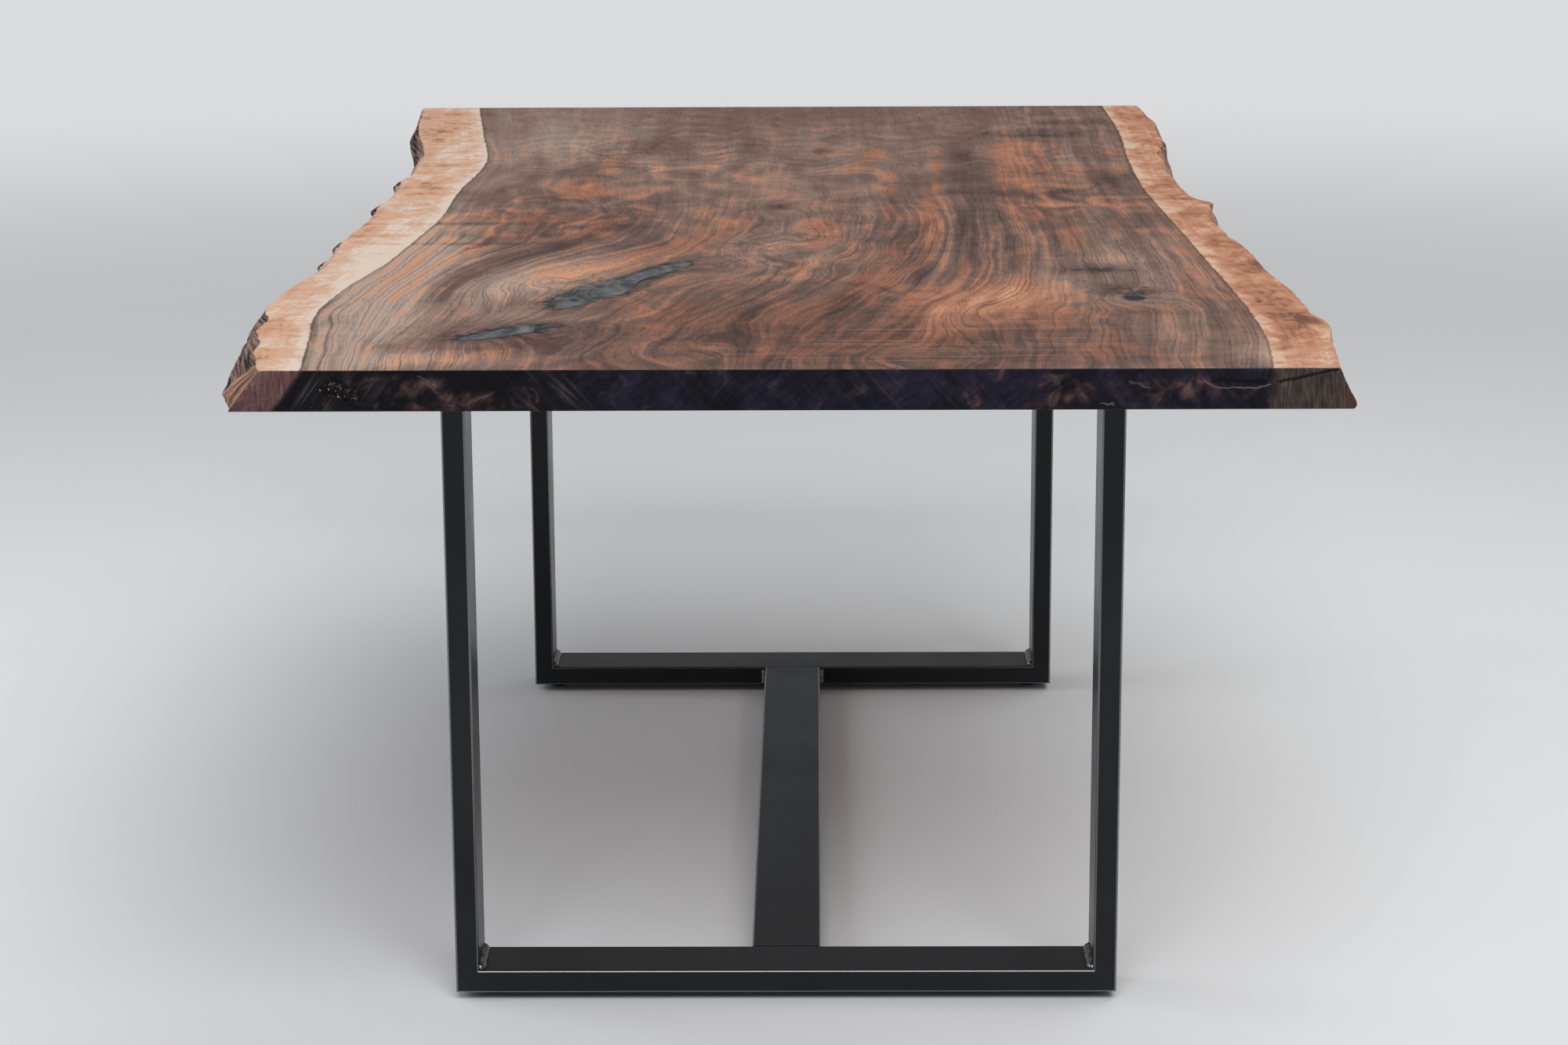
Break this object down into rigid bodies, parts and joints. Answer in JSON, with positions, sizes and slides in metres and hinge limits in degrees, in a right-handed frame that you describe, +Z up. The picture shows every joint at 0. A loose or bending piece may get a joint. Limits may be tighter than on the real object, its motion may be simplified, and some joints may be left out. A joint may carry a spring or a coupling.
{
  "type": "live edge dining table",
  "caption": "Dining table: a wide walnut slab with two natural edges on a welded base of two open tube frames and a low stretcher, standing on screw-adjustable feet.",
  "frame": {"origin": "on the floor under the middle of the table's bounding box", "axes": "+Z up, +Y along the table's length from its front end to its rear end, +X to the right as seen from the front end"},
  "size_m": [1.1136, 1.87, 0.762],
  "materials": {
    "walnut": "satin oiled walnut",
    "void_fill": "dark cast resin, sanded flush",
    "frame_steel": "satin black powder coat",
    "zinc_hardware": "bright zinc plating",
    "foot_pad": "moulded black nylon"
  },
  "bodies": {
    "table": {"walnut_slab": "walnut", "long_void_fill": "void_fill", "short_void_fill": "void_fill", "end_void_fill": "void_fill", "stretcher": "frame_steel", "stretcher_welds": "frame_steel", "front_left_upright": "frame_steel", "front_right_upright": "frame_steel", "front_bottom_rail": "frame_steel", "front_mounting_plate": "frame_steel", "front_corner_welds": "frame_steel", "front_plate_welds": "frame_steel", "front_slab_bolts": "zinc_hardware", "front_bolt_washers": "zinc_hardware", "front_slab_inserts": "zinc_hardware", "front_foot_nuts": "zinc_hardware", "rear_left_upright": "frame_steel", "rear_right_upright": "frame_steel", "rear_bottom_rail": "frame_steel", "rear_mounting_plate": "frame_steel", "rear_corner_welds": "frame_steel", "rear_plate_welds": "frame_steel", "rear_slab_bolts": "zinc_hardware", "rear_bolt_washers": "zinc_hardware", "rear_slab_inserts": "zinc_hardware", "rear_foot_nuts": "zinc_hardware"},
    "front_left_foot_pad": {"front_left_foot_pad": "foot_pad"},
    "front_left_foot_stud": {"front_left_foot_stud": "zinc_hardware"},
    "front_right_foot_pad": {"front_right_foot_pad": "foot_pad"},
    "front_right_foot_stud": {"front_right_foot_stud": "zinc_hardware"},
    "rear_left_foot_pad": {"rear_left_foot_pad": "foot_pad"},
    "rear_left_foot_stud": {"rear_left_foot_stud": "zinc_hardware"},
    "rear_right_foot_pad": {"rear_right_foot_pad": "foot_pad"},
    "rear_right_foot_stud": {"rear_right_foot_stud": "zinc_hardware"}
  },
  "joints": [
    {"name": "front_left_foot_height", "type": "slide", "parent": "table", "child": "front_left_foot_pad", "axis": [0, 0, -1], "range_m": [0, 0.01]},
    {"name": "front_left_foot_turn", "type": "hinge", "parent": "front_left_foot_pad", "child": "front_left_foot_stud", "pos_m": [-0.327, -0.585, 0.017], "axis": [0, 0, -1], "range_deg": [0, 2400.1]},
    {"name": "front_right_foot_height", "type": "slide", "parent": "table", "child": "front_right_foot_pad", "axis": [0, 0, -1], "range_m": [0, 0.01]},
    {"name": "front_right_foot_turn", "type": "hinge", "parent": "front_right_foot_pad", "child": "front_right_foot_stud", "pos_m": [0.327, -0.585, 0.017], "axis": [0, 0, -1], "range_deg": [0, 2400.1]},
    {"name": "rear_left_foot_height", "type": "slide", "parent": "table", "child": "rear_left_foot_pad", "axis": [0, 0, -1], "range_m": [0, 0.01]},
    {"name": "rear_left_foot_turn", "type": "hinge", "parent": "rear_left_foot_pad", "child": "rear_left_foot_stud", "pos_m": [-0.327, 0.585, 0.017], "axis": [0, 0, -1], "range_deg": [0, 2400.1]},
    {"name": "rear_right_foot_height", "type": "slide", "parent": "table", "child": "rear_right_foot_pad", "axis": [0, 0, -1], "range_m": [0, 0.01]},
    {"name": "rear_right_foot_turn", "type": "hinge", "parent": "rear_right_foot_pad", "child": "rear_right_foot_stud", "pos_m": [0.327, 0.585, 0.017], "axis": [0, 0, -1], "range_deg": [0, 2400.1]}
  ],
  "couplings": [
    {"joint": "front_left_foot_turn", "follows": "front_left_foot_height", "rad_per_m": 4188.8},
    {"joint": "front_right_foot_turn", "follows": "front_right_foot_height", "rad_per_m": 4188.8},
    {"joint": "rear_left_foot_turn", "follows": "rear_left_foot_height", "rad_per_m": 4188.8},
    {"joint": "rear_right_foot_turn", "follows": "rear_right_foot_height", "rad_per_m": 4188.8}
  ]
}
